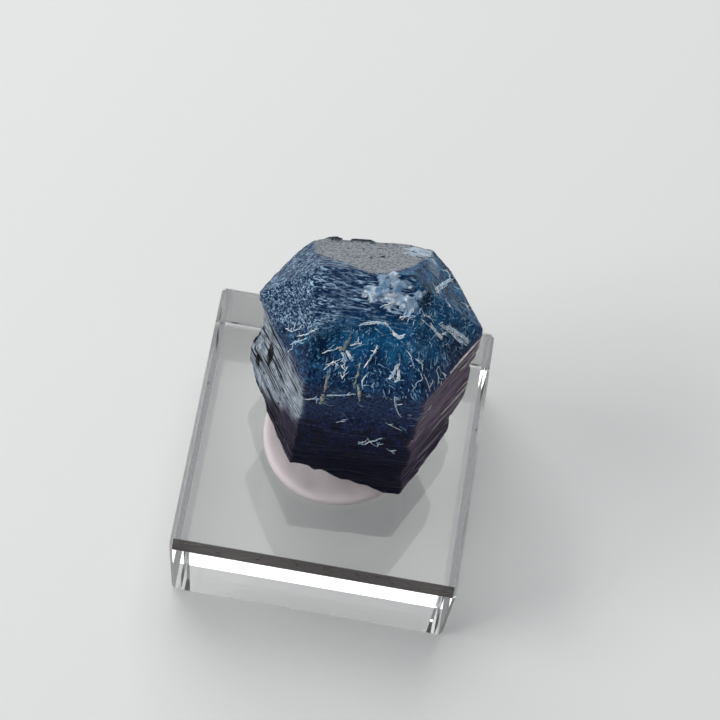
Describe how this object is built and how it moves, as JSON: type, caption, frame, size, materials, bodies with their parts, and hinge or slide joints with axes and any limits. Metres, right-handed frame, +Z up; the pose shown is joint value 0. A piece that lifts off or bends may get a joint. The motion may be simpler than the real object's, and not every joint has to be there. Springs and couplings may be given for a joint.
{
  "type": "indigolite quartz specimen on a display block",
  "caption": "Dark blue six-sided quartz crystal with a low tip, fixed with white mineral tack to a small clear acrylic display block.",
  "frame": {"origin": "middle of the block's flat underside", "axes": "+Z up, -Y towards the front of the block and the crystal's widest side, +X to the right seen from the front"},
  "size_m": [0.0254, 0.0254, 0.0363],
  "materials": {
    "acrylic": "clear polished cast acrylic",
    "tack": "pressed white putty, matte",
    "quartz": "dark blue quartz full of fine fibres, glassy with etched and grooved faces"
  },
  "bodies": {
    "root": {"acrylic_base": "acrylic", "mineral_tack": "tack", "quartz_crystal": "quartz"}
  },
  "joints": []
}
